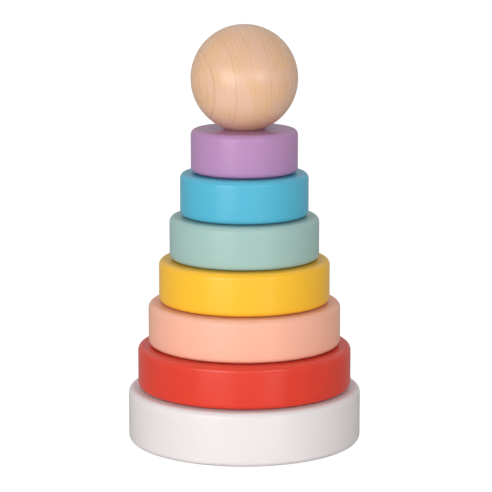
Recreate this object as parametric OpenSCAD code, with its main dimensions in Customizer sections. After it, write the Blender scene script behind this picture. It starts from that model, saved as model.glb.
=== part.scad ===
// Rainbow stacker: a turned wooden stacking toy.
// A thick base disc carries a glued-in dowel, lacquered rings of falling diameter drop over the
// dowel, and a bored wooden ball caps it. Millimetres, +Z up, origin under the middle of the base.

/* [Base] */
// Diameter of the base disc
base_d = 100; // [80:0.5:140]
// Thickness of the base disc
base_h = 23.1; // [16:0.1:40]
// Wood left under the dowel's socket
socket_floor = 4; // [2:0.5:8]

/* [Rings] */
// Diameter of the smallest ring, at the top of the stack
top_ring_d = 45.7; // [36:0.1:60]
// Growth in diameter from each ring to the one under it
ring_step = 9.2; // [2:0.1:12]
// Thickness of every ring
ring_h = 18.65; // [10:0.05:30]

/* [Turned edges] */
// Radius of the rounded rims on the base and the rings
rim_r = 2.5; // [0.5:0.1:4]
// Radius that breaks the edge of every bore
bore_edge_r = 0.4; // [0.2:0.1:1]

/* [Dowel] */
// Diameter of the dowel
dowel_d = 12; // [8:0.5:16]
// Length of dowel that stands above the stack of rings
dowel_reach = 22; // [10:0.5:26]
// Radius that rounds over the dowel's tip
dowel_tip_r = 3; // [1:0.5:3.5]
// Chamfer on the dowel's glued foot
dowel_foot_chamfer = 0.8; // [0.2:0.1:1.5]

/* [Fits] */
// Radial clearance of the rings and the ball on the dowel
bore_clearance = 0.75; // [0.4:0.05:1.5]
// Radial glue line round the dowel's foot
glue_line = 0.1; // [0.05:0.05:0.3]

/* [Ball] */
// How far the ball's side stands in from the side of the smallest ring
ball_inset = 0.05; // [-6:0.05:4]
// Width of the flat that seats the ball on the top ring
ball_seat_w = 0.45; // [0.2:0.05:3]
// Free depth in the ball's bore above the dowel's tip
ball_bore_spare = 3; // [1:0.5:6]
// Included angle of the drill point at the end of the ball's bore
drill_point_angle = 118; // [90:1:160]

/* [Hidden] */
// Facets of a full turn in a preview.
$fn = 96;
// Overshoot that carries a cut clear of the face that it opens.
cut_over = 1;

// Finishes, from the floor up.
white_lacquer = "#EAE3E3";
red_lacquer = "#E03F2E";
peach_lacquer = "#F8B79D";
yellow_lacquer = "#FBC030";
green_lacquer = "#A1C2BC";
blue_lacquer = "#54B5D2";
purple_lacquer = "#B589B7";
bare_maple = "#E1B898";

// The rings are counted by level, from 1 on the base to ring_count under the ball.
ring_count = 6;
function ring_d(level) = top_ring_d + (ring_count - level) * ring_step;
function ring_z(level) = base_h + (level - 1) * ring_h;
stack_top = ring_z(ring_count + 1);

dowel_r = dowel_d / 2;
bore_r = dowel_r + bore_clearance;
dowel_foot_z = socket_floor;
dowel_tip_z = stack_top + dowel_reach;

ball_r = top_ring_d / 2 - ball_inset;
ball_seat_r = bore_r + bore_edge_r + ball_seat_w;
ball_centre_z = stack_top + sqrt(pow(ball_r, 2) - pow(ball_seat_r, 2));
ball_bore_depth = dowel_reach + ball_bore_spare;
drill_point_h = bore_r / tan(drill_point_angle / 2);

// Half section of a disc of radius r and height h, with its rims rounded to rim_r.
module disc_section(r, h) {
    square([r - rim_r, h]);
    translate([0, rim_r]) square([r, h - 2 * rim_r]);
    for (z = [rim_r, h - rim_r])
        translate([r - rim_r, z]) circle(rim_r);
}

// Half section of the space that a through bore takes out of a disc of height h. It flares
// to a rounded edge at both faces.
module bore_section(h) {
    flare_r = bore_r + bore_edge_r;
    difference() {
        translate([0, -cut_over]) square([flare_r, h + 2 * cut_over]);
        translate([bore_r, bore_edge_r]) square([bore_edge_r, h - 2 * bore_edge_r]);
        for (z = [bore_edge_r, h - bore_edge_r])
            translate([flare_r, z]) circle(bore_edge_r);
    }
}

// One lacquered ring, resting at its level in the stack.
module turned_ring(level) {
    translate([0, 0, ring_z(level)])
        rotate_extrude()
            difference() {
                disc_section(ring_d(level) / 2, ring_h);
                bore_section(ring_h);
            }
}

module base_disc() {
    color(white_lacquer)
        difference() {
            rotate_extrude() disc_section(base_d / 2, base_h);
            translate([0, 0, socket_floor])
                cylinder(r = dowel_r + glue_line, h = base_h);
        }
}

module centre_dowel() {
    shank_z = dowel_foot_z + dowel_foot_chamfer;
    color(bare_maple) {
        translate([0, 0, dowel_foot_z])
            cylinder(r1 = dowel_r - dowel_foot_chamfer, r2 = dowel_r, h = dowel_foot_chamfer);
        rotate_extrude() {
            translate([0, shank_z]) square([dowel_r, dowel_tip_z - dowel_tip_r - shank_z]);
            translate([0, shank_z]) square([dowel_r - dowel_tip_r, dowel_tip_z - shank_z]);
            intersection() {
                translate([dowel_r - dowel_tip_r, dowel_tip_z - dowel_tip_r]) circle(dowel_tip_r);
                translate([0, dowel_foot_z]) square([dowel_r, dowel_tip_z]);
            }
        }
    }
}

module red_ring() { color(red_lacquer) turned_ring(1); }
module peach_ring() { color(peach_lacquer) turned_ring(2); }
module yellow_ring() { color(yellow_lacquer) turned_ring(3); }
module green_ring() { color(green_lacquer) turned_ring(4); }
module blue_ring() { color(blue_lacquer) turned_ring(5); }
module purple_ring() { color(purple_lacquer) turned_ring(6); }

// The ball stands on a narrow flat round its blind bore.
module ball_topper() {
    color(bare_maple)
        difference() {
            translate([0, 0, ball_centre_z]) sphere(r = ball_r);
            translate([-ball_r, -ball_r, stack_top - ball_r]) cube([2 * ball_r, 2 * ball_r, ball_r]);
            translate([0, 0, stack_top - cut_over])
                cylinder(r = bore_r, h = ball_bore_depth + cut_over);
            translate([0, 0, stack_top])
                cylinder(r1 = bore_r + bore_edge_r, r2 = bore_r, h = bore_edge_r);
            translate([0, 0, stack_top + ball_bore_depth])
                cylinder(r1 = bore_r, r2 = 0, h = drill_point_h);
        }
}

base_disc();
centre_dowel();
red_ring();
peach_ring();
yellow_ring();
green_ring();
blue_ring();
purple_ring();
ball_topper();
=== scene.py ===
"""Studio scene of a rainbow stacker: a turned and lacquered wooden stacking toy.

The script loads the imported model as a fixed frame, turns every piece again on a Geometry Nodes
lathe with finer edges, dresses the pieces in satin lacquer and oiled maple, and sets up a pale
studio with the camera of the photograph. Every object is in metres, +Z up, in the model's frame.
"""

import logging
import math
from collections.abc import Mapping, Sequence
from dataclasses import dataclass
from enum import Enum

import bpy
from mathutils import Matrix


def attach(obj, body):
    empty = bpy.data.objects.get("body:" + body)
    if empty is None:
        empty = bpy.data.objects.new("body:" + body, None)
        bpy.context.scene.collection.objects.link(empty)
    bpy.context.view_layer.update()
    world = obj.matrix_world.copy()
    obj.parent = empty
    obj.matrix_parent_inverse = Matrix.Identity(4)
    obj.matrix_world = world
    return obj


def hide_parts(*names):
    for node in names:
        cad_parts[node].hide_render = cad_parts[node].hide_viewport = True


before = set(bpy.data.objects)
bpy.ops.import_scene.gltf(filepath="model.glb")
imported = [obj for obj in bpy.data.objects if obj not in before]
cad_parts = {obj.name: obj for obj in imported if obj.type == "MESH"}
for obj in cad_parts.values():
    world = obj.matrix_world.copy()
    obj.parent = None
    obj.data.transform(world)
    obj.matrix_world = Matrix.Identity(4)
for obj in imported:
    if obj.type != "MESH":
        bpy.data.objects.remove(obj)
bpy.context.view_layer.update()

LOG = logging.getLogger("rainbow_stacker")
MM = 0.001
IMAGE_PX = 492
SENSOR_MM = 36.0
TURN_STEPS = 224
ARC_STEPS = 14
SHARP_EDGE = math.radians(35)
MERGE_GAP = 0.001 * MM

Corner = tuple[float, float, float]
Input = (
    float | int | bool | str | tuple
    | bpy.types.NodeSocket | bpy.types.Material | bpy.types.NodeTree
)


class Lacquer(Enum):
    """The lacquer colours, from the floor up, as sRGB hex values."""

    WHITE = "#EAE3E3"
    RED = "#E03F2E"
    PEACH = "#F8B79D"
    YELLOW = "#FBC030"
    GREEN = "#A1C2BC"
    BLUE = "#54B5D2"
    PURPLE = "#B589B7"


def linear(hex_colour: str, gain: float = 1.0) -> tuple[float, float, float, float]:
    """Turns an sRGB hex colour into the linear colour that shaders take.

    Args:
        hex_colour: the colour, as "#RRGGBB".
        gain: a factor on the linear colour, which stays at most 1.

    Returns:
        Linear red, green, blue and an alpha of 1.
    """
    channels = []
    for start in (1, 3, 5):
        value = int(hex_colour[start:start + 2], 16) / 255
        value = value / 12.92 if value <= 0.04045 else ((value + 0.055) / 1.055) ** 2.4
        channels.append(min(1.0, value * gain))
    return channels[0], channels[1], channels[2], 1.0


def add(
    tree: bpy.types.NodeTree,
    kind: str,
    inputs: Mapping[str | int, Input] | None = None,
    **settings: object,
) -> bpy.types.Node:
    """Adds a node to a tree with its settings, and fills or links its inputs.

    Args:
        tree: the tree that gets the node.
        kind: the node's type name.
        inputs: socket name or number to the socket that feeds it, or to its value.
        settings: the node's own properties.

    Returns:
        The new node.
    """
    node = tree.nodes.new(kind)
    for key, value in settings.items():
        setattr(node, key, value)
    for key, value in (inputs or {}).items():
        if isinstance(value, bpy.types.NodeSocket):
            tree.links.new(value, node.inputs[key])
        else:
            node.inputs[key].default_value = value
    return node


class Lathe:
    """Geometry Nodes trees that turn a half section round the Z axis.

    A section lies in the XY plane of its own drawing: X is the radius and Y is the height.
    """

    def __init__(self) -> None:
        """Builds the shared turning group and the two trees that use it."""
        self.turn = self._turning_group()
        self.ring = self._ring_tree()
        self.section = self._section_tree()

    @staticmethod
    def _tree(name: str, sockets: Mapping[str, str]) -> bpy.types.NodeTree:
        """Makes an empty geometry tree with named inputs and a mesh output.

        Args:
            name: the tree's name.
            sockets: input name to socket type.

        Returns:
            The tree.
        """
        tree = bpy.data.node_groups.new(name, "GeometryNodeTree")
        for label, kind in sockets.items():
            tree.interface.new_socket(label, in_out="INPUT", socket_type=kind)
        tree.interface.new_socket("Geometry", in_out="OUTPUT", socket_type="NodeSocketGeometry")
        return tree

    def _turning_group(self) -> bpy.types.NodeTree:
        """Makes the group that revolves a section curve into a closed skin.

        Returns:
            A tree with inputs Section, Closed and Turn Steps.
        """
        tree = self._tree("lathe_turn", {
            "Section": "NodeSocketGeometry",
            "Closed": "NodeSocketInt",
            "Turn Steps": "NodeSocketInt",
        })
        given = add(tree, "NodeGroupInput").outputs
        steps = given["Turn Steps"]
        count = add(
            tree, "GeometryNodeAttributeDomainSize", {0: given["Section"]}, component="CURVE"
        ).outputs["Point Count"]
        rows = add(tree, "FunctionNodeIntegerMath", {0: count, 1: given["Closed"]}).outputs[0]
        columns = add(tree, "FunctionNodeIntegerMath", {0: steps, 1: 1}).outputs[0]
        grid = add(tree, "GeometryNodeMeshGrid", {"Vertices X": columns, "Vertices Y": rows})

        index = add(tree, "GeometryNodeInputIndex").outputs[0]
        row = add(tree, "FunctionNodeIntegerMath", {0: index, 1: rows}, operation="MODULO")
        point = add(
            tree, "FunctionNodeIntegerMath", {0: row.outputs[0], 1: count}, operation="MODULO"
        )
        column = add(tree, "FunctionNodeIntegerMath", {0: index, 1: rows}, operation="DIVIDE_FLOOR")
        share = add(tree, "ShaderNodeMath", {0: column.outputs[0], 1: steps}, operation="DIVIDE")
        angle = add(
            tree, "ShaderNodeMath", {0: share.outputs[0], 1: math.tau}, operation="MULTIPLY"
        )

        drawn = add(
            tree,
            "GeometryNodeSampleIndex",
            {
                "Geometry": given["Section"],
                "Value": add(tree, "GeometryNodeInputPosition").outputs[0],
                "Index": point.outputs[0],
            },
            data_type="FLOAT_VECTOR",
        )
        flat = add(tree, "ShaderNodeSeparateXYZ", {0: drawn.outputs[0]}).outputs
        upright = add(tree, "ShaderNodeCombineXYZ", {"X": flat["X"], "Z": flat["Y"]})
        turned = add(
            tree,
            "ShaderNodeVectorRotate",
            {"Vector": upright.outputs[0], "Angle": angle.outputs[0]},
            rotation_type="Z_AXIS",
        )
        skin = add(
            tree,
            "GeometryNodeSetPosition",
            {"Geometry": grid.outputs["Mesh"], "Position": turned.outputs[0]},
        )
        closed = add(
            tree,
            "GeometryNodeMergeByDistance",
            {"Geometry": skin.outputs[0], "Distance": MERGE_GAP},
        )
        smooth = add(tree, "GeometryNodeSetShadeSmooth", {"Geometry": closed.outputs[0]})
        fold = add(tree, "GeometryNodeInputMeshEdgeAngle").outputs["Unsigned Angle"]
        sharp = add(tree, "FunctionNodeCompare", {0: fold, 1: SHARP_EDGE})
        crisp = add(
            tree,
            "GeometryNodeSetShadeSmooth",
            {"Geometry": smooth.outputs[0], "Selection": sharp.outputs[0], "Shade Smooth": False},
            domain="EDGE",
        )
        add(tree, "NodeGroupOutput", {0: crisp.outputs[0]})
        return tree

    @staticmethod
    def _dress(
        tree: bpy.types.NodeTree, skin: bpy.types.NodeSocket, given: bpy.types.NodeOutputs
    ) -> None:
        """Ends a tree: realizes the skin and sets its finishes.

        Args:
            tree: the tree to end.
            skin: the turned geometry.
            given: the tree's inputs, with Bore Limit, Finish and Bore Finish among them.
        """
        real = add(tree, "GeometryNodeRealizeInstances", {"Geometry": skin}).outputs[0]
        place = add(tree, "GeometryNodeInputPosition").outputs[0]
        across = add(
            tree, "ShaderNodeVectorMath", {0: place, 1: (1.0, 1.0, 0.0)}, operation="MULTIPLY"
        )
        radius = add(tree, "ShaderNodeVectorMath", {0: across.outputs[0]}, operation="LENGTH")
        inner = add(
            tree,
            "FunctionNodeCompare",
            {0: radius.outputs["Value"], 1: given["Bore Limit"]},
            operation="LESS_THAN",
        )
        outside = add(
            tree, "GeometryNodeSetMaterial", {"Geometry": real, "Material": given["Finish"]}
        )
        inside = add(
            tree,
            "GeometryNodeSetMaterial",
            {
                "Geometry": outside.outputs[0],
                "Selection": inner.outputs[0],
                "Material": given["Bore Finish"],
            },
        )
        add(tree, "NodeGroupOutput", {0: inside.outputs[0]})

    def _ring_tree(self) -> bpy.types.NodeTree:
        """Makes the tree that turns a ring from its sizes.

        Returns:
            A tree whose inputs are the ring's sizes and finishes.
        """
        tree = self._tree("turned_ring", {
            "Geometry": "NodeSocketGeometry",
            "Outer Radius": "NodeSocketFloat",
            "Bore Radius": "NodeSocketFloat",
            "Height": "NodeSocketFloat",
            "Underside": "NodeSocketFloat",
            "Rim Radius": "NodeSocketFloat",
            "Bore Edge Radius": "NodeSocketFloat",
            "Arc Steps": "NodeSocketInt",
            "Turn Steps": "NodeSocketInt",
            "Bore Limit": "NodeSocketFloat",
            "Finish": "NodeSocketMaterial",
            "Bore Finish": "NodeSocketMaterial",
        })
        given = add(tree, "NodeGroupInput").outputs
        outer, bore = given["Outer Radius"], given["Bore Radius"]
        wall = add(tree, "ShaderNodeMath", {0: outer, 1: bore}, operation="SUBTRACT").outputs[0]
        both = add(tree, "ShaderNodeMath", {0: outer, 1: bore}).outputs[0]
        middle = add(tree, "ShaderNodeMath", {0: both, 1: 0.5}, operation="MULTIPLY").outputs[0]
        centre = add(
            tree,
            "ShaderNodeMath",
            {0: given["Height"], 1: 0.5, 2: given["Underside"]},
            operation="MULTIPLY_ADD",
        ).outputs[0]
        blank = add(
            tree,
            "GeometryNodeCurvePrimitiveQuadrilateral",
            {"Width": wall, "Height": given["Height"]},
        )
        side = add(
            tree,
            "ShaderNodeSeparateXYZ",
            {0: add(tree, "GeometryNodeInputPosition").outputs[0]},
        ).outputs["X"]
        at_rim = add(tree, "FunctionNodeCompare", {0: side, 1: 0.0}).outputs[0]
        corner = add(
            tree,
            "GeometryNodeSwitch",
            {"Switch": at_rim, "False": given["Bore Edge Radius"], "True": given["Rim Radius"]},
            input_type="FLOAT",
        )
        rounded = add(
            tree,
            "GeometryNodeFilletCurve",
            {0: blank.outputs[0], "Count": given["Arc Steps"], "Radius": corner.outputs[0]},
            mode="POLY",
        )
        shift = add(tree, "ShaderNodeCombineXYZ", {"X": middle, "Y": centre})
        placed = add(
            tree,
            "GeometryNodeTransform",
            {"Geometry": rounded.outputs[0], "Translation": shift.outputs[0]},
        )
        skin = add(
            tree,
            "GeometryNodeGroup",
            {"Section": placed.outputs[0], "Closed": 1, "Turn Steps": given["Turn Steps"]},
            node_tree=self.turn,
        )
        self._dress(tree, skin.outputs[0], given)
        return tree

    def _section_tree(self) -> bpy.types.NodeTree:
        """Makes the tree that turns a drawn section, rounding each corner by its own radius.

        Returns:
            A tree that takes the section as an edge chain with a corner_radius attribute.
        """
        tree = self._tree("turned_section", {
            "Geometry": "NodeSocketGeometry",
            "Arc Steps": "NodeSocketInt",
            "Turn Steps": "NodeSocketInt",
            "Bore Limit": "NodeSocketFloat",
            "Finish": "NodeSocketMaterial",
            "Bore Finish": "NodeSocketMaterial",
        })
        given = add(tree, "NodeGroupInput").outputs
        chain = add(tree, "GeometryNodeMeshToCurve", {0: given["Geometry"]})
        corner = add(tree, "GeometryNodeInputNamedAttribute", {"Name": "corner_radius"})
        rounded = add(
            tree,
            "GeometryNodeFilletCurve",
            {
                0: chain.outputs[0],
                "Count": given["Arc Steps"],
                "Radius": corner.outputs["Attribute"],
            },
            mode="POLY",
        )
        skin = add(
            tree,
            "GeometryNodeGroup",
            {"Section": rounded.outputs[0], "Closed": 0, "Turn Steps": given["Turn Steps"]},
            node_tree=self.turn,
        )
        self._dress(tree, skin.outputs[0], given)
        return tree

    @staticmethod
    def _run(
        name: str, blank: bpy.types.Mesh, tree: bpy.types.NodeTree, sizes: Mapping[str, Input]
    ) -> bpy.types.Object:
        """Turns a blank and keeps the result as a plain mesh.

        Args:
            name: the piece's name.
            blank: the mesh that the tree starts from.
            tree: the tree to run.
            sizes: input name to value.

        Returns:
            The finished piece, at the origin, with no modifier.
        """
        piece = bpy.data.objects.new(name, blank)
        bpy.context.scene.collection.objects.link(piece)
        modifier = piece.modifiers.new("lathe", "NODES")
        modifier.node_group = tree
        sizes = {"Arc Steps": ARC_STEPS, "Turn Steps": TURN_STEPS, **sizes}
        for item in tree.interface.items_tree:
            if item.in_out == "INPUT" and item.name in sizes:
                modifier[item.identifier] = sizes[item.name]
        graph = bpy.context.evaluated_depsgraph_get()
        turned = bpy.data.meshes.new_from_object(piece.evaluated_get(graph))
        piece.modifiers.remove(modifier)
        piece.data = turned
        turned.name = name
        bpy.data.meshes.remove(blank)
        return piece

    def turn_ring(self, name: str, sizes: Mapping[str, Input]) -> bpy.types.Object:
        """Turns one ring.

        Args:
            name: the ring's name.
            sizes: the inputs of the ring tree, in metres.

        Returns:
            The ring.
        """
        return self._run(name, bpy.data.meshes.new(f"{name}_blank"), self.ring, sizes)

    def turn_section(
        self, name: str, corners: Sequence[Corner], sizes: Mapping[str, Input]
    ) -> bpy.types.Object:
        """Turns a piece whose section starts and ends on the axis.

        Args:
            name: the piece's name.
            corners: radius, height and rounding of each corner of the section, in mm.
            sizes: the inputs of the section tree, in metres.

        Returns:
            The piece.
        """
        blank = bpy.data.meshes.new(f"{name}_blank")
        chain = [(i, i + 1) for i in range(len(corners) - 1)]
        blank.from_pydata([(r * MM, z * MM, 0.0) for r, z, _ in corners], chain, [])
        rounding = blank.attributes.new("corner_radius", "FLOAT", "POINT")
        rounding.data.foreach_set("value", [corner * MM for _, _, corner in corners])
        return self._run(name, blank, self.section, sizes)


@dataclass(frozen=True)
class SatinLacquer:
    """Water-based satin lacquer, sprayed in thin coats on turned maple.

    To the eye it is an even colour under a clear satin coat, which carries thin crisp lights along
    the rims and a soft upright band on the fronts. Close up, the wood's fibres show as faint
    streaks and the spray leaves a fine orange peel. The film is thinner and a little paler where it
    pulls back from the rounded rims. Under the lower rim the colour is painted darker, a painted
    shade for the crease where the piece meets the one below.

    Attributes:
        name: the material's name.
        colour: the lacquer's sRGB hex colour.
        grain_turn: how far the board's grain is turned about the axis, in degrees.
        seed: shifts the patterns, so that no two pieces are alike.
        crease_shade: the share of the painted shade colour, darker than the lacquer, under the
            lower rim.
    """

    name: str
    colour: str
    grain_turn: float
    seed: float
    # Strength of the painted shade under the lower rim, in the crease against the piece below.
    crease_shade: float

    FIBRE_MM = (14.0, 0.9, 0.9)
    PEEL_MM = 1.6
    CLOUD_MM = 17.0
    GROWTH_MM = 4.2
    RELIEF_MM = 0.006
    SEED_SHIFT_MM = (37.0, 53.0, 71.0)
    CLOUD_SHARE = 0.65
    FIBRE_SHARE = 0.35
    SHADE_SPAN = (0.36, 0.64)
    SHADE_GAIN = (0.985, 1.01)
    GLOSS_SPAN = (0.3, 0.7)
    BARE_RIM = "#F4DFC6"
    RIM_SLOPE = (0.1, 0.25)
    RIM_WEAR = 0.05
    # Normal rises over which the painted crease shade under the lower rim fades in.
    CREASE_SHADE_RISE = (-0.45, -0.93)
    UNDERSIDE_RISE = (-0.999, -0.985)
    # Painted shade colour: the lacquer's linear colour squared, times this.
    DEEP = 0.35
    GROWTH_SHARE = 0.25
    PEEL_SHARE = 0.5
    ROUGHNESS = (0.4, 0.45)
    FILM_IOR = 1.45
    FILM_SPECULAR = 0.03
    CLEAR_WEIGHT = 0.62
    CLEAR_ROUGHNESS = 0.15

    def material(self) -> bpy.types.Material:
        """Builds the shader.

        Returns:
            The material.
        """
        finish = bpy.data.materials.new(self.name)
        finish.use_nodes = True
        tree = finish.node_tree
        tree.nodes.clear()
        place = add(tree, "ShaderNodeTexCoord").outputs["Object"]
        board = add(
            tree,
            "ShaderNodeMapping",
            {
                "Vector": place,
                "Location": tuple(shift * self.seed for shift in self.SEED_SHIFT_MM),
                "Rotation": (0.0, 0.0, math.radians(self.grain_turn)),
                "Scale": (1 / MM, 1 / MM, 1 / MM),
            },
        ).outputs[0]
        along = add(
            tree,
            "ShaderNodeMapping",
            {"Vector": board, "Scale": tuple(1 / size for size in self.FIBRE_MM)},
        ).outputs[0]
        fibre = add(
            tree, "ShaderNodeTexNoise", {"Vector": along, "Scale": 1.0, "Detail": 3.0}
        ).outputs["Fac"]
        peel = add(
            tree,
            "ShaderNodeTexNoise",
            {"Vector": board, "Scale": 1 / self.PEEL_MM, "Detail": 1.0},
        ).outputs["Fac"]
        cloud = add(
            tree,
            "ShaderNodeTexNoise",
            {"Vector": board, "Scale": 1 / self.CLOUD_MM, "Detail": 2.0},
        ).outputs["Fac"]

        mottle = add(
            tree, "ShaderNodeMath", {0: cloud, 1: self.CLOUD_SHARE}, operation="MULTIPLY"
        ).outputs[0]
        streak = add(
            tree,
            "ShaderNodeMath",
            {0: fibre, 1: self.FIBRE_SHARE, 2: mottle},
            operation="MULTIPLY_ADD",
        ).outputs[0]
        depth = add(
            tree,
            "ShaderNodeMapRange",
            {"Value": streak, "From Min": self.SHADE_SPAN[0], "From Max": self.SHADE_SPAN[1]},
        ).outputs[0]
        film = add(
            tree,
            "ShaderNodeMix",
            {
                "Factor": depth,
                6: linear(self.colour, self.SHADE_GAIN[0]),
                7: linear(self.colour, self.SHADE_GAIN[1]),
            },
            data_type="RGBA",
        ).outputs[2]

        normal = add(tree, "ShaderNodeNewGeometry").outputs["Normal"]
        rise = add(tree, "ShaderNodeSeparateXYZ", {0: normal}).outputs["Z"]
        square = add(tree, "ShaderNodeMath", {0: rise, 1: rise}, operation="MULTIPLY").outputs[0]
        rest = add(tree, "ShaderNodeMath", {0: 1.0, 1: square}, operation="SUBTRACT").outputs[0]
        slope = add(tree, "ShaderNodeMath", {0: square, 1: rest}, operation="MULTIPLY").outputs[0]
        rim = add(
            tree,
            "ShaderNodeMapRange",
            {
                "Value": slope,
                "From Min": self.RIM_SLOPE[0],
                "From Max": self.RIM_SLOPE[1],
                "To Max": self.RIM_WEAR,
            },
            interpolation_type="SMOOTHSTEP",
        ).outputs[0]
        worn = add(tree, "ShaderNodeMath", {0: rim, 1: fibre}, operation="MULTIPLY").outputs[0]
        thinned = add(
            tree,
            "ShaderNodeMix",
            {"Factor": worn, 6: film, 7: linear(self.BARE_RIM)},
            data_type="RGBA",
        ).outputs[2]
        # Painted shade: the colour is darkened where the normal faces down under the lower rim,
        # standing in for the shade in the crease between stacked pieces.
        run = add(
            tree,
            "ShaderNodeMapRange",
            {
                "Value": rise,
                "From Min": self.CREASE_SHADE_RISE[0],
                "From Max": self.CREASE_SHADE_RISE[1],
                "To Max": self.crease_shade,
            },
            interpolation_type="SMOOTHSTEP",
        ).outputs[0]
        off_flat = add(
            tree,
            "ShaderNodeMapRange",
            {
                "Value": rise,
                "From Min": self.UNDERSIDE_RISE[0],
                "From Max": self.UNDERSIDE_RISE[1],
            },
        ).outputs[0]
        crease_shade = add(tree, "ShaderNodeMath", {0: run, 1: off_flat}, operation="MULTIPLY").outputs[0]
        # The painted shade colour, darker and more saturated than the lacquer.
        red, green, blue, _ = linear(self.colour)
        deep = (self.DEEP * red ** 2, self.DEEP * green ** 2, self.DEEP * blue ** 2, 1.0)
        skin = add(
            tree, "ShaderNodeMix", {"Factor": crease_shade, 6: thinned, 7: deep}, data_type="RGBA"
        ).outputs[2]

        gloss = add(
            tree,
            "ShaderNodeMapRange",
            {
                "Value": cloud,
                "From Min": self.GLOSS_SPAN[0],
                "From Max": self.GLOSS_SPAN[1],
                "To Min": self.ROUGHNESS[0],
                "To Max": self.ROUGHNESS[1],
            },
        ).outputs[0]
        growth = add(
            tree,
            "ShaderNodeTexWave",
            {
                "Vector": board,
                "Scale": math.tau / 20 / self.GROWTH_MM,
                "Distortion": 3.0,
                "Detail": 2.0,
                "Detail Scale": 0.4,
            },
            bands_direction="Y",
        ).outputs["Fac"]
        ridge = add(
            tree,
            "ShaderNodeMath",
            {0: growth, 1: self.GROWTH_SHARE, 2: fibre},
            operation="MULTIPLY_ADD",
        ).outputs[0]
        height = add(
            tree,
            "ShaderNodeMath",
            {0: peel, 1: self.PEEL_SHARE, 2: ridge},
            operation="MULTIPLY_ADD",
        ).outputs[0]
        relief = add(
            tree, "ShaderNodeBump", {"Distance": self.RELIEF_MM * MM, "Height": height}
        ).outputs[0]
        shader = add(
            tree,
            "ShaderNodeBsdfPrincipled",
            {
                "Base Color": skin,
                "Roughness": gloss,
                "IOR": self.FILM_IOR,
                "Specular IOR Level": self.FILM_SPECULAR,
                "Normal": relief,
                "Coat Weight": self.CLEAR_WEIGHT,
                "Coat Roughness": self.CLEAR_ROUGHNESS,
                "Coat IOR": self.FILM_IOR,
                "Coat Normal": relief,
            },
        )
        add(tree, "ShaderNodeOutputMaterial", {"Surface": shader.outputs[0]})
        return finish


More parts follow.
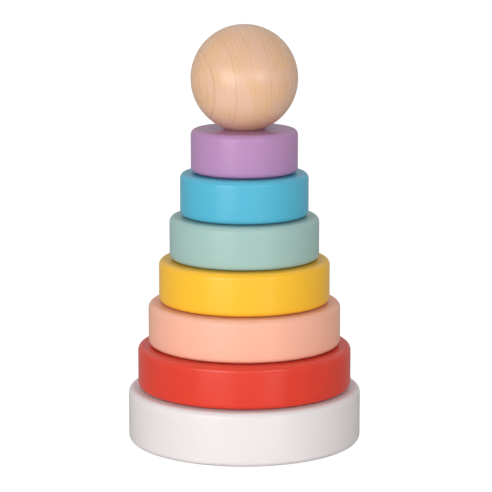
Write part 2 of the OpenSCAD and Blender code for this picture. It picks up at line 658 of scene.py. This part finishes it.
@dataclass(frozen=True)
class OiledMaple:
    """Hard maple, sanded fine and wiped with oil.

    To the eye it is pale and warm, in soft patches of rosy and honey, with thin darker lines where
    each year's growth ends, finer lines between them, short ray flecks along the fibres and a soft
    sheen.

    Attributes:
        name: the material's name.
        centre: the point that the growth layers are counted from, in mm.
        turn: Euler angles of the board in degrees. Its X is across the growth layers, and its Z
            along the fibres.
        year_mm: the spacing of the growth lines.
        first_mm: where one of the lines crosses the board's X axis.
        patch_seed: shifts the patches of rosy and honey wood.
        rosy: the paler wood's sRGB hex colour.
        honey: the warmer wood's sRGB hex colour.
        late: the sRGB hex colour of the late growth.
    """

    name: str
    centre: tuple[float, float, float]
    turn: tuple[float, float, float]
    year_mm: float
    first_mm: float
    patch_seed: float = 0.0
    rosy: str = "#E8BFA6"
    honey: str = "#E7BB93"
    late: str = "#BC865E"

    WARP_MM = 1.6
    WARP_SIZE_MM = (34.0, 34.0, 60.0)
    FIBRE_MM = (0.55, 0.55, 11.0)
    FLECK_MM = (0.5, 0.5, 2.6)
    BREAK_MM = (9.0, 9.0, 17.0)
    BLOTCH_MM = 9.0
    CLOUD_MM = 16.0
    FINE_LINES = 4.0
    LATE_SEASON = (0.84, 0.985)
    FINE_SEASON = (0.55, 0.97)
    LINE_BREAK = (0.36, 0.6)
    LEAST_LINE = 0.25
    LINE_WEIGHT = 0.17
    FINE_ZONE = (0.46, 0.6)
    FINE_WEIGHT = (0.03, 0.12)
    FIBRE_SPAN = (0.3, 0.7)
    FIBRE_WEIGHT = (-0.03, 0.05)
    FLECK_SPAN = (0.66, 0.74)
    FLECK_WEIGHT = 0.06
    CLOUD_WEIGHT = 0.12
    BLOTCH_SPAN = (0.36, 0.64)
    RELIEF_MM = 0.015
    ROUGHNESS = (0.24, 0.3)
    OIL_IOR = 1.43

    def material(self) -> bpy.types.Material:
        """Builds the shader.

        Returns:
            The material.
        """
        finish = bpy.data.materials.new(self.name)
        finish.use_nodes = True
        tree = finish.node_tree
        tree.nodes.clear()
        place = add(tree, "ShaderNodeTexCoord").outputs["Object"]
        board = add(
            tree,
            "ShaderNodeMapping",
            {
                "Vector": place,
                "Location": tuple(c * MM for c in self.centre),
                "Rotation": tuple(math.radians(a) for a in self.turn),
                "Scale": (MM, MM, MM),
            },
            vector_type="TEXTURE",
        ).outputs[0]
        across = add(tree, "ShaderNodeSeparateXYZ", {0: board}).outputs["X"]
        slow = add(
            tree,
            "ShaderNodeMapping",
            {"Vector": board, "Scale": tuple(1 / size for size in self.WARP_SIZE_MM)},
        ).outputs[0]
        warp = add(
            tree, "ShaderNodeTexNoise", {"Vector": slow, "Scale": 1.0, "Detail": 2.0}
        ).outputs["Fac"]
        bent = add(
            tree,
            "ShaderNodeMath",
            {0: warp, 1: 2 * self.WARP_MM, 2: across},
            operation="MULTIPLY_ADD",
        ).outputs[0]
        years = add(
            tree,
            "ShaderNodeMath",
            {
                0: bent,
                1: 1 / self.year_mm,
                2: -(self.first_mm + self.WARP_MM) / self.year_mm,
            },
            operation="MULTIPLY_ADD",
        ).outputs[0]
        season = add(tree, "ShaderNodeMath", {0: years}, operation="FRACT").outputs[0]
        line = add(
            tree,
            "ShaderNodeMapRange",
            {"Value": season, "From Min": self.LATE_SEASON[0], "From Max": self.LATE_SEASON[1]},
            interpolation_type="SMOOTHERSTEP",
        ).outputs[0]
        patchy = add(
            tree,
            "ShaderNodeMapping",
            {"Vector": board, "Scale": tuple(1 / size for size in self.BREAK_MM)},
        ).outputs[0]
        breaks = add(
            tree, "ShaderNodeTexNoise", {"Vector": patchy, "Scale": 1.0, "Detail": 1.0}
        ).outputs
        clear = add(
            tree,
            "ShaderNodeMapRange",
            {
                "Value": breaks["Fac"],
                "From Min": self.LINE_BREAK[0],
                "From Max": self.LINE_BREAK[1],
                "To Min": self.LEAST_LINE,
            },
        ).outputs[0]
        broken_line = add(
            tree, "ShaderNodeMath", {0: line, 1: clear}, operation="MULTIPLY"
        ).outputs[0]
        shorter = add(
            tree, "ShaderNodeMath", {0: years, 1: self.FINE_LINES}, operation="MULTIPLY"
        ).outputs[0]
        spell = add(tree, "ShaderNodeMath", {0: shorter}, operation="FRACT").outputs[0]
        fine = add(
            tree,
            "ShaderNodeMapRange",
            {"Value": spell, "From Min": self.FINE_SEASON[0], "From Max": self.FINE_SEASON[1]},
            interpolation_type="SMOOTHERSTEP",
        ).outputs[0]
        patch = add(tree, "ShaderNodeSeparateXYZ", {0: breaks["Color"]}).outputs["X"]
        zone = add(
            tree,
            "ShaderNodeMapRange",
            {
                "Value": patch,
                "From Min": self.FINE_ZONE[0],
                "From Max": self.FINE_ZONE[1],
                "To Min": self.FINE_WEIGHT[0],
                "To Max": self.FINE_WEIGHT[1],
            },
        ).outputs[0]
        thin_line = add(tree, "ShaderNodeMath", {0: fine, 1: zone}, operation="MULTIPLY").outputs[0]

        along = add(
            tree,
            "ShaderNodeMapping",
            {"Vector": board, "Scale": tuple(1 / size for size in self.FIBRE_MM)},
        ).outputs[0]
        fibre = add(
            tree, "ShaderNodeTexNoise", {"Vector": along, "Scale": 1.0, "Detail": 4.0}
        ).outputs["Fac"]
        cloud = add(
            tree,
            "ShaderNodeTexNoise",
            {"Vector": board, "Scale": 1 / self.CLOUD_MM, "Detail": 2.0},
        ).outputs["Fac"]
        short = add(
            tree,
            "ShaderNodeMapping",
            {"Vector": board, "Scale": tuple(1 / size for size in self.FLECK_MM)},
        ).outputs[0]
        speck = add(
            tree, "ShaderNodeTexNoise", {"Vector": short, "Scale": 1.0, "Detail": 1.0}
        ).outputs["Fac"]
        fleck = add(
            tree,
            "ShaderNodeMapRange",
            {
                "Value": speck,
                "From Min": self.FLECK_SPAN[0],
                "From Max": self.FLECK_SPAN[1],
                "To Max": self.FLECK_WEIGHT,
            },
        ).outputs[0]

        lines = add(
            tree,
            "ShaderNodeMath",
            {0: broken_line, 1: self.LINE_WEIGHT, 2: thin_line},
            operation="MULTIPLY_ADD",
        ).outputs[0]
        streaks = add(
            tree,
            "ShaderNodeMapRange",
            {
                "Value": fibre,
                "From Min": self.FIBRE_SPAN[0],
                "From Max": self.FIBRE_SPAN[1],
                "To Min": self.FIBRE_WEIGHT[0],
                "To Max": self.FIBRE_WEIGHT[1],
            },
        ).outputs[0]
        tone = add(tree, "ShaderNodeMath", {0: lines, 1: streaks}).outputs[0]
        toned = add(tree, "ShaderNodeMath", {0: tone, 1: fleck}).outputs[0]
        shade = add(
            tree,
            "ShaderNodeMath",
            {0: cloud, 1: self.CLOUD_WEIGHT, 2: toned},
            operation="MULTIPLY_ADD",
            use_clamp=True,
        ).outputs[0]
        blotch = add(
            tree,
            "ShaderNodeTexNoise",
            {
                "Vector": board,
                "W": self.patch_seed,
                "Scale": 1 / self.BLOTCH_MM,
                "Detail": 1.0,
            },
            noise_dimensions="4D",
        ).outputs["Fac"]
        warmth = add(
            tree,
            "ShaderNodeMapRange",
            {"Value": blotch, "From Min": self.BLOTCH_SPAN[0], "From Max": self.BLOTCH_SPAN[1]},
        ).outputs[0]
        early = add(
            tree,
            "ShaderNodeMix",
            {"Factor": warmth, 6: linear(self.rosy), 7: linear(self.honey)},
            data_type="RGBA",
        ).outputs[2]
        wood = add(
            tree,
            "ShaderNodeMix",
            {"Factor": shade, 6: early, 7: linear(self.late)},
            data_type="RGBA",
        ).outputs[2]
        gloss = add(
            tree,
            "ShaderNodeMapRange",
            {
                "Value": fibre,
                "From Min": self.FIBRE_SPAN[0],
                "From Max": self.FIBRE_SPAN[1],
                "To Min": self.ROUGHNESS[0],
                "To Max": self.ROUGHNESS[1],
            },
        ).outputs[0]
        relief = add(
            tree, "ShaderNodeBump", {"Distance": self.RELIEF_MM * MM, "Height": fibre}
        ).outputs[0]
        shader = add(
            tree,
            "ShaderNodeBsdfPrincipled",
            {"Base Color": wood, "Roughness": gloss, "IOR": self.OIL_IOR, "Normal": relief},
        )
        add(tree, "ShaderNodeOutputMaterial", {"Surface": shader.outputs[0]})
        return finish


@dataclass
class Fits:
    """Sizes that the pieces share, in mm. The seam is the gap that keeps stacked faces apart."""

    ring_h: float = 18.65
    base_h: float = 23.1
    ring_count: int = 6
    dowel_d: float = 12.0
    dowel_reach: float = 22.0
    bore_clearance: float = 0.75
    bore_edge_r: float = 0.4
    rim_r: float = 2.5
    seam: float = 0.02

    @property
    def bore_r(self) -> float:
        """Radius of the bores in the rings and the ball."""
        return self.dowel_d / 2 + self.bore_clearance

    @property
    def stack_top(self) -> float:
        """Height of the top of the rings."""
        return self.base_h + self.ring_count * self.ring_h


def settle(piece: bpy.types.Object, body: str, node: str) -> None:
    """Hands a finished piece to the frame and reports it.

    Args:
        piece: the finished piece.
        body: the body that it moves with.
        node: the model's node that it stands for.
    """
    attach(piece, body)
    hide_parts(node)
    LOG.info("%s: %d faces, on %s", piece.name, len(piece.data.polygons), body)


@dataclass
class Stand:
    """The base disc and the dowel that is glued into it. Sizes are in mm."""

    fits: Fits
    base_d: float = 100.0
    socket_floor: float = 4.0
    glue_line: float = 0.1
    dowel_tip_r: float = 3.0
    dowel_foot_chamfer: float = 0.8

    def build(self, lathe: Lathe, lacquer: bpy.types.Material, maple: bpy.types.Material) -> None:
        """Turns the base and the dowel and settles them.

        Args:
            lathe: the lathe to turn them on.
            lacquer: the base's finish.
            maple: the dowel's finish, which also shows in the base's socket.
        """
        fits = self.fits
        socket_r = fits.dowel_d / 2 + self.glue_line
        radius = self.base_d / 2
        base = lathe.turn_section(
            "base_disc_turned",
            [
                (0.0, 0.0, 0.0),
                (radius, 0.0, fits.rim_r),
                (radius, fits.base_h, fits.rim_r),
                (socket_r, fits.base_h, 0.0),
                (socket_r, self.socket_floor, 0.0),
                (0.0, self.socket_floor, 0.0),
            ],
            {"Finish": lacquer, "Bore Finish": lacquer, "Bore Limit": 0.0},
        )
        settle(base, "base", "base_disc")

        dowel_r = fits.dowel_d / 2
        tip = fits.stack_top + fits.dowel_reach
        foot = self.socket_floor
        dowel = lathe.turn_section(
            "centre_dowel_turned",
            [
                (0.0, foot, 0.0),
                (dowel_r - self.dowel_foot_chamfer, foot, 0.0),
                (dowel_r, foot + self.dowel_foot_chamfer, 0.0),
                (dowel_r, tip, self.dowel_tip_r),
                (0.0, tip, 0.0),
            ],
            {"Finish": maple, "Bore Finish": maple, "Bore Limit": 0.0},
        )
        settle(dowel, "base", "centre_dowel")


@dataclass
class RingStack:
    """The lacquered rings, from the largest on the base to the smallest.

    Sizes are in mm and grain turns in degrees. Bare wood reaches a share of the bore's edge.
    """

    fits: Fits
    top_ring_d: float = 45.7
    ring_step: float = 9.2
    colours: tuple[Lacquer, ...] = (
        Lacquer.RED, Lacquer.PEACH, Lacquer.YELLOW, Lacquer.GREEN, Lacquer.BLUE, Lacquer.PURPLE
    )
    first_grain: float = 29.0
    grain_step: float = 57.0
    # Strength of the painted shade under each ring's lower rim, in the crease against the ring
    # below.
    crease_shade: float = 0.75
    bore_edge_share: float = 0.1

    def build(self, lathe: Lathe, maple: bpy.types.Material) -> None:
        """Turns, lacquers and settles every ring.

        Args:
            lathe: the lathe to turn them on.
            maple: the bare wood that shows in their bores.
        """
        fits = self.fits
        for level, colour in enumerate(self.colours):
            hue = colour.name.lower()
            steps_up = len(self.colours) - 1 - level
            finish = SatinLacquer(
                name=f"{hue} satin lacquer on maple",
                colour=colour.value,
                grain_turn=self.first_grain + self.grain_step * level,
                seed=1.0 + level,
                crease_shade=self.crease_shade,
            )
            ring = lathe.turn_ring(f"{hue}_ring_turned", {
                "Outer Radius": (self.top_ring_d + steps_up * self.ring_step) / 2 * MM,
                "Bore Radius": fits.bore_r * MM,
                "Height": (fits.ring_h - fits.seam) * MM,
                "Underside": (fits.base_h + level * fits.ring_h + fits.seam) * MM,
                "Rim Radius": fits.rim_r * MM,
                "Bore Edge Radius": fits.bore_edge_r * MM,
                "Bore Limit": (fits.bore_r + self.bore_edge_share * fits.bore_edge_r) * MM,
                "Finish": finish.material(),
                "Bore Finish": maple,
            })
            settle(ring, f"{hue}_ring", f"{hue}_ring")


@dataclass
class Ball:
    """The bored ball on top. Sizes are in mm."""

    fits: Fits
    ball_r: float = 22.8
    seat_w: float = 0.45
    bore_spare: float = 3.0
    drill_point_angle: float = 118.0
    arc_points: int = 96

    @property
    def seat_r(self) -> float:
        """Outer radius of the flat that the ball stands on."""
        return self.fits.bore_r + self.fits.bore_edge_r + self.seat_w

    @property
    def centre_z(self) -> float:
        """Height of the ball's centre."""
        return self.fits.stack_top + math.sqrt(self.ball_r ** 2 - self.seat_r ** 2)

    def build(self, lathe: Lathe, maple: bpy.types.Material) -> None:
        """Turns the ball and settles it.

        Args:
            lathe: the lathe to turn it on.
            maple: its finish, inside and out.
        """
        fits = self.fits
        seat = fits.stack_top + fits.seam
        end = fits.stack_top + fits.dowel_reach + self.bore_spare
        point = fits.bore_r / math.tan(math.radians(self.drill_point_angle / 2))
        corners = [
            (0.0, end + point, 0.0),
            (fits.bore_r, end, 0.0),
            (fits.bore_r, seat + fits.bore_edge_r, 0.0),
            (fits.bore_r + fits.bore_edge_r, seat, 0.0),
        ]
        low = -math.acos(self.seat_r / self.ball_r)
        for i in range(self.arc_points + 1):
            angle = low + (math.pi / 2 - low) * i / self.arc_points
            radius = 0.0 if i == self.arc_points else self.ball_r * math.cos(angle)
            corners.append((radius, self.centre_z + self.ball_r * math.sin(angle), 0.0))
        ball = lathe.turn_section(
            "ball_topper_turned",
            corners,
            {"Finish": maple, "Bore Finish": maple, "Bore Limit": 0.0},
        )
        settle(ball, "ball", "ball_topper")


@dataclass(frozen=True)
class Softbox:
    """A soft lamp that faces the toy and fades towards its sides, as real ones do.

    Attributes:
        name: the lamp's name.
        azimuth: degrees to the camera's right of the camera.
        elevation: degrees above the toy's middle.
        distance: metres from the toy's middle.
        size: width at half strength, and height, in metres.
        level: the share of a white card's brightness that it gives a card that faces it.
    """

    name: str
    azimuth: float
    elevation: float
    distance: float
    size: tuple[float, float]
    level: float

    FULL_PART = 0.2

    def hang(self, middle: Sequence[float]) -> None:
        """Hangs the lamp in the scene.

        Args:
            middle: the point that it faces, in metres.
        """
        lamp = bpy.data.lights.new(self.name, "AREA")
        lamp.shape = "RECTANGLE"
        share = (1.0 + self.FULL_PART) / 2
        lamp.size, lamp.size_y = self.size[0] / share, self.size[1]
        lamp.energy = self.level * math.pi ** 2 * self.distance ** 2
        lamp.use_nodes = True
        tree = lamp.node_tree
        tree.nodes.clear()
        spot = add(
            tree,
            "ShaderNodeSeparateXYZ",
            {0: add(tree, "ShaderNodeNewGeometry").outputs["Parametric"]},
        ).outputs["X"]
        offset = add(tree, "ShaderNodeMath", {0: spot, 1: 0.5}, operation="SUBTRACT").outputs[0]
        aside = add(tree, "ShaderNodeMath", {0: offset}, operation="ABSOLUTE").outputs[0]
        fade = add(
            tree,
            "ShaderNodeMapRange",
            {
                "Value": aside,
                "From Min": self.FULL_PART / 2,
                "From Max": 0.5,
                "To Min": 1 / share,
                "To Max": 0.0,
            },
            interpolation_type="SMOOTHSTEP",
        ).outputs[0]
        glow = add(tree, "ShaderNodeEmission", {"Strength": fade}).outputs[0]
        add(tree, "ShaderNodeOutputLight", {"Surface": glow})

        lamp_object = bpy.data.objects.new(self.name, lamp)
        a, e = math.radians(self.azimuth), math.radians(self.elevation)
        lamp_object.location = (
            middle[0] + self.distance * math.sin(a) * math.cos(e),
            middle[1] - self.distance * math.cos(a) * math.cos(e),
            middle[2] + self.distance * math.sin(e),
        )
        lamp_object.rotation_euler = (math.pi / 2 - e, 0.0, a)
        bpy.context.scene.collection.objects.link(lamp_object)


@dataclass
class Studio:
    """Pale floor, soft lamps, white walls and the photograph's camera.

    Attributes:
        camera_at: the camera's place, in mm.
        camera_down: degrees that the camera looks down.
        focal_px: the focal length, in pixels of the picture.
        aim: the point that the lamps face, in mm.
        horizon: brightness of the walls in front and at the sides.
        behind: brightness of the wall behind the toy.
        overhead: brightness of the ceiling.
        behind_span: part of the way to the back over which the walls dim.
        overhead_span: part of the way up over which the walls dim.
        floor_half: half the floor's width, in metres.
        floor_drop: how far the floor lies under the toy, in metres.
        paper: the floor's colour in the light that it throws on the toy.
        paper_in_gloss: the floor's colour in the lacquer's reflections.
        shown_shade: how much of a shadow the camera sees on the floor.
        shown_glow: the floor's own white to the camera.
        gloss_share: the part of that white that reflections see.
    """

    camera_at: tuple[float, float, float] = (0.7, -996.0, 268.7)
    camera_down: float = 10.49
    focal_px: float = 2364.5
    aim: tuple[float, float, float] = (0.0, 0.0, 90.0)
    horizon: float = 1.0
    behind: float = 0.45
    overhead: float = 0.19
    behind_span: tuple[float, float] = (0.0, 0.6)
    overhead_span: tuple[float, float] = (0.05, 0.6)
    floor_half: float = 20.0
    floor_drop: float = 0.0002
    paper: str = "#DDDCDB"
    paper_in_gloss: str = "#303030"
    shown_shade: float = 0.3
    shown_glow: float = 0.92
    gloss_share: float = 0.2
    lamps: tuple[Softbox, ...] = (
        Softbox("key_softbox", -32.0, 10.0, 1.3, (0.77, 0.6), 0.45),
        Softbox("fill_softbox", 31.0, 13.0, 1.3, (0.46, 0.5), 0.19),
        Softbox("front_panel", 0.0, 8.0, 1.6, (1.4, 0.5), 0.13),
        Softbox("rear_left_softbox", -140.0, 50.0, 1.6, (2.4, 2.0), 0.27),
        Softbox("rear_right_softbox", 140.0, 50.0, 1.6, (2.4, 2.0), 0.27),
    )

    PAPER_ROUGHNESS = 0.1
    PAPER_IOR = 1.5
    WHITE = (1.0, 1.0, 1.0, 1.0)

    def camera(self) -> None:
        """Sets the camera that was fitted to the photograph."""
        lens = bpy.data.cameras.new("photograph_camera")
        lens.sensor_fit = "HORIZONTAL"
        lens.sensor_width = SENSOR_MM
        lens.lens = self.focal_px / IMAGE_PX * SENSOR_MM
        lens.clip_end = 100.0
        camera = bpy.data.objects.new("photograph_camera", lens)
        camera.location = tuple(c * MM for c in self.camera_at)
        camera.rotation_euler = (math.radians(90.0 - self.camera_down), 0.0, 0.0)
        bpy.context.scene.collection.objects.link(camera)
        bpy.context.scene.camera = camera

    @staticmethod
    def background_rays(tree: bpy.types.NodeTree) -> bpy.types.NodeSocket:
        """Marks the rays that see the pure white background.

        Args:
            tree: the tree that needs the mark.

        Returns:
            A socket that is 1 for rays from the camera or through a clear piece.
        """
        path = add(tree, "ShaderNodeLightPath").outputs
        return add(
            tree, "ShaderNodeMath", {0: path["Is Camera Ray"], 1: path["Is Transmission Ray"]}
        ).outputs[0]

    def floor(self) -> None:
        """Lays a wide floor of coated paper, white to the camera, that keeps the shadow."""
        mesh = bpy.data.meshes.new("floor")
        half = self.floor_half
        corners = [(-half, -half, 0.0), (half, -half, 0.0), (half, half, 0.0), (-half, half, 0.0)]
        mesh.from_pydata(corners, [], [(0, 1, 2, 3)])
        floor = bpy.data.objects.new("floor", mesh)
        floor.location = (0.0, 0.0, -self.floor_drop)
        bpy.context.scene.collection.objects.link(floor)
        sweep = bpy.data.materials.new("white paper sweep")
        sweep.use_nodes = True
        tree = sweep.node_tree
        tree.nodes.clear()
        in_gloss = add(tree, "ShaderNodeLightPath").outputs["Is Glossy Ray"]
        tone = add(
            tree,
            "ShaderNodeMix",
            {"Factor": in_gloss, 6: linear(self.paper), 7: linear(self.paper_in_gloss)},
            data_type="RGBA",
        ).outputs[2]
        paper = add(
            tree,
            "ShaderNodeBsdfPrincipled",
            {"Base Color": tone, "Roughness": self.PAPER_ROUGHNESS, "IOR": self.PAPER_IOR},
        ).outputs[0]
        shade = self.shown_shade
        matte = add(tree, "ShaderNodeBsdfDiffuse", {"Color": (shade, shade, shade, 1.0)}).outputs[0]
        glow = add(
            tree, "ShaderNodeEmission", {"Color": self.WHITE, "Strength": self.shown_glow}
        ).outputs[0]
        lit = add(tree, "ShaderNodeAddShader", {0: matte, 1: glow}).outputs[0]
        shown = add(
            tree,
            "ShaderNodeMath",
            {0: in_gloss, 1: self.gloss_share, 2: self.background_rays(tree)},
            operation="MULTIPLY_ADD",
        ).outputs[0]
        surface = add(tree, "ShaderNodeMixShader", {0: shown, 1: paper, 2: lit}).outputs[0]
        add(tree, "ShaderNodeOutputMaterial", {"Surface": surface})
        mesh.materials.append(sweep)

    def world(self) -> None:
        """Lights the studio by white walls, which dim behind the toy and overhead."""
        world = bpy.data.worlds.new("white studio")
        bpy.context.scene.world = world
        world.use_nodes = True
        tree = world.node_tree
        tree.nodes.clear()
        way = add(
            tree,
            "ShaderNodeSeparateXYZ",
            {0: add(tree, "ShaderNodeTexCoord").outputs["Generated"]},
        ).outputs
        wall = add(
            tree,
            "ShaderNodeMapRange",
            {
                "Value": way["Y"],
                "From Min": self.behind_span[0],
                "From Max": self.behind_span[1],
                "To Min": self.horizon,
                "To Max": self.behind,
            },
            interpolation_type="SMOOTHSTEP",
        ).outputs[0]
        level = add(
            tree,
            "ShaderNodeMapRange",
            {
                "Value": way["Z"],
                "From Min": self.overhead_span[0],
                "From Max": self.overhead_span[1],
                "To Min": wall,
                "To Max": self.overhead,
            },
            interpolation_type="SMOOTHSTEP",
        ).outputs[0]
        room = add(
            tree, "ShaderNodeBackground", {"Color": self.WHITE, "Strength": level}
        ).outputs[0]
        white = add(
            tree, "ShaderNodeBackground", {"Color": self.WHITE, "Strength": 1.0}
        ).outputs[0]
        seen = add(tree, "ShaderNodeMixShader", {0: self.background_rays(tree), 1: room, 2: white})
        add(tree, "ShaderNodeOutputWorld", {"Surface": seen.outputs[0]})

    def build(self) -> None:
        """Sets up the whole studio."""
        self.camera()
        self.floor()
        self.world()
        middle = [c * MM for c in self.aim]
        for lamp in self.lamps:
            lamp.hang(middle)


def main() -> None:
    """Builds the toy and its studio."""
    logging.basicConfig(level=logging.INFO, format="%(name)s %(message)s")
    bpy.context.scene.view_settings.view_transform = "Standard"
    fits = Fits()
    lathe = Lathe()
    ball = Ball(fits)
    ball_maple = OiledMaple(
        name="oiled maple of the ball",
        centre=(0.0, 0.0, ball.centre_z),
        turn=(0.0, 6.0, 198.0),
        year_mm=7.46,
        first_mm=-4.33,
        patch_seed=76.0,
    ).material()
    dowel_maple = OiledMaple(
        name="oiled maple of the dowel",
        centre=(31.0, 12.0, 0.0),
        turn=(0.0, 0.0, 20.0),
        year_mm=3.1,
        first_mm=0.0,
    ).material()
    bore_maple = OiledMaple(
        name="bare maple of the bores",
        centre=(0.0, 0.0, 0.0),
        turn=(90.0, 0.0, 0.0),
        year_mm=4.2,
        first_mm=0.0,
    ).material()
    white = SatinLacquer(
        name="white satin lacquer on maple",
        colour=Lacquer.WHITE.value,
        grain_turn=0.0,
        seed=0.0,
        # Painted shade under the base's lower rim, where it meets the floor.
        crease_shade=0.1,
    ).material()
    Studio().build()
    Stand(fits).build(lathe, white, dowel_maple)
    RingStack(fits).build(lathe, bore_maple)
    ball.build(lathe, ball_maple)


if __name__ == "__main__":
    main()
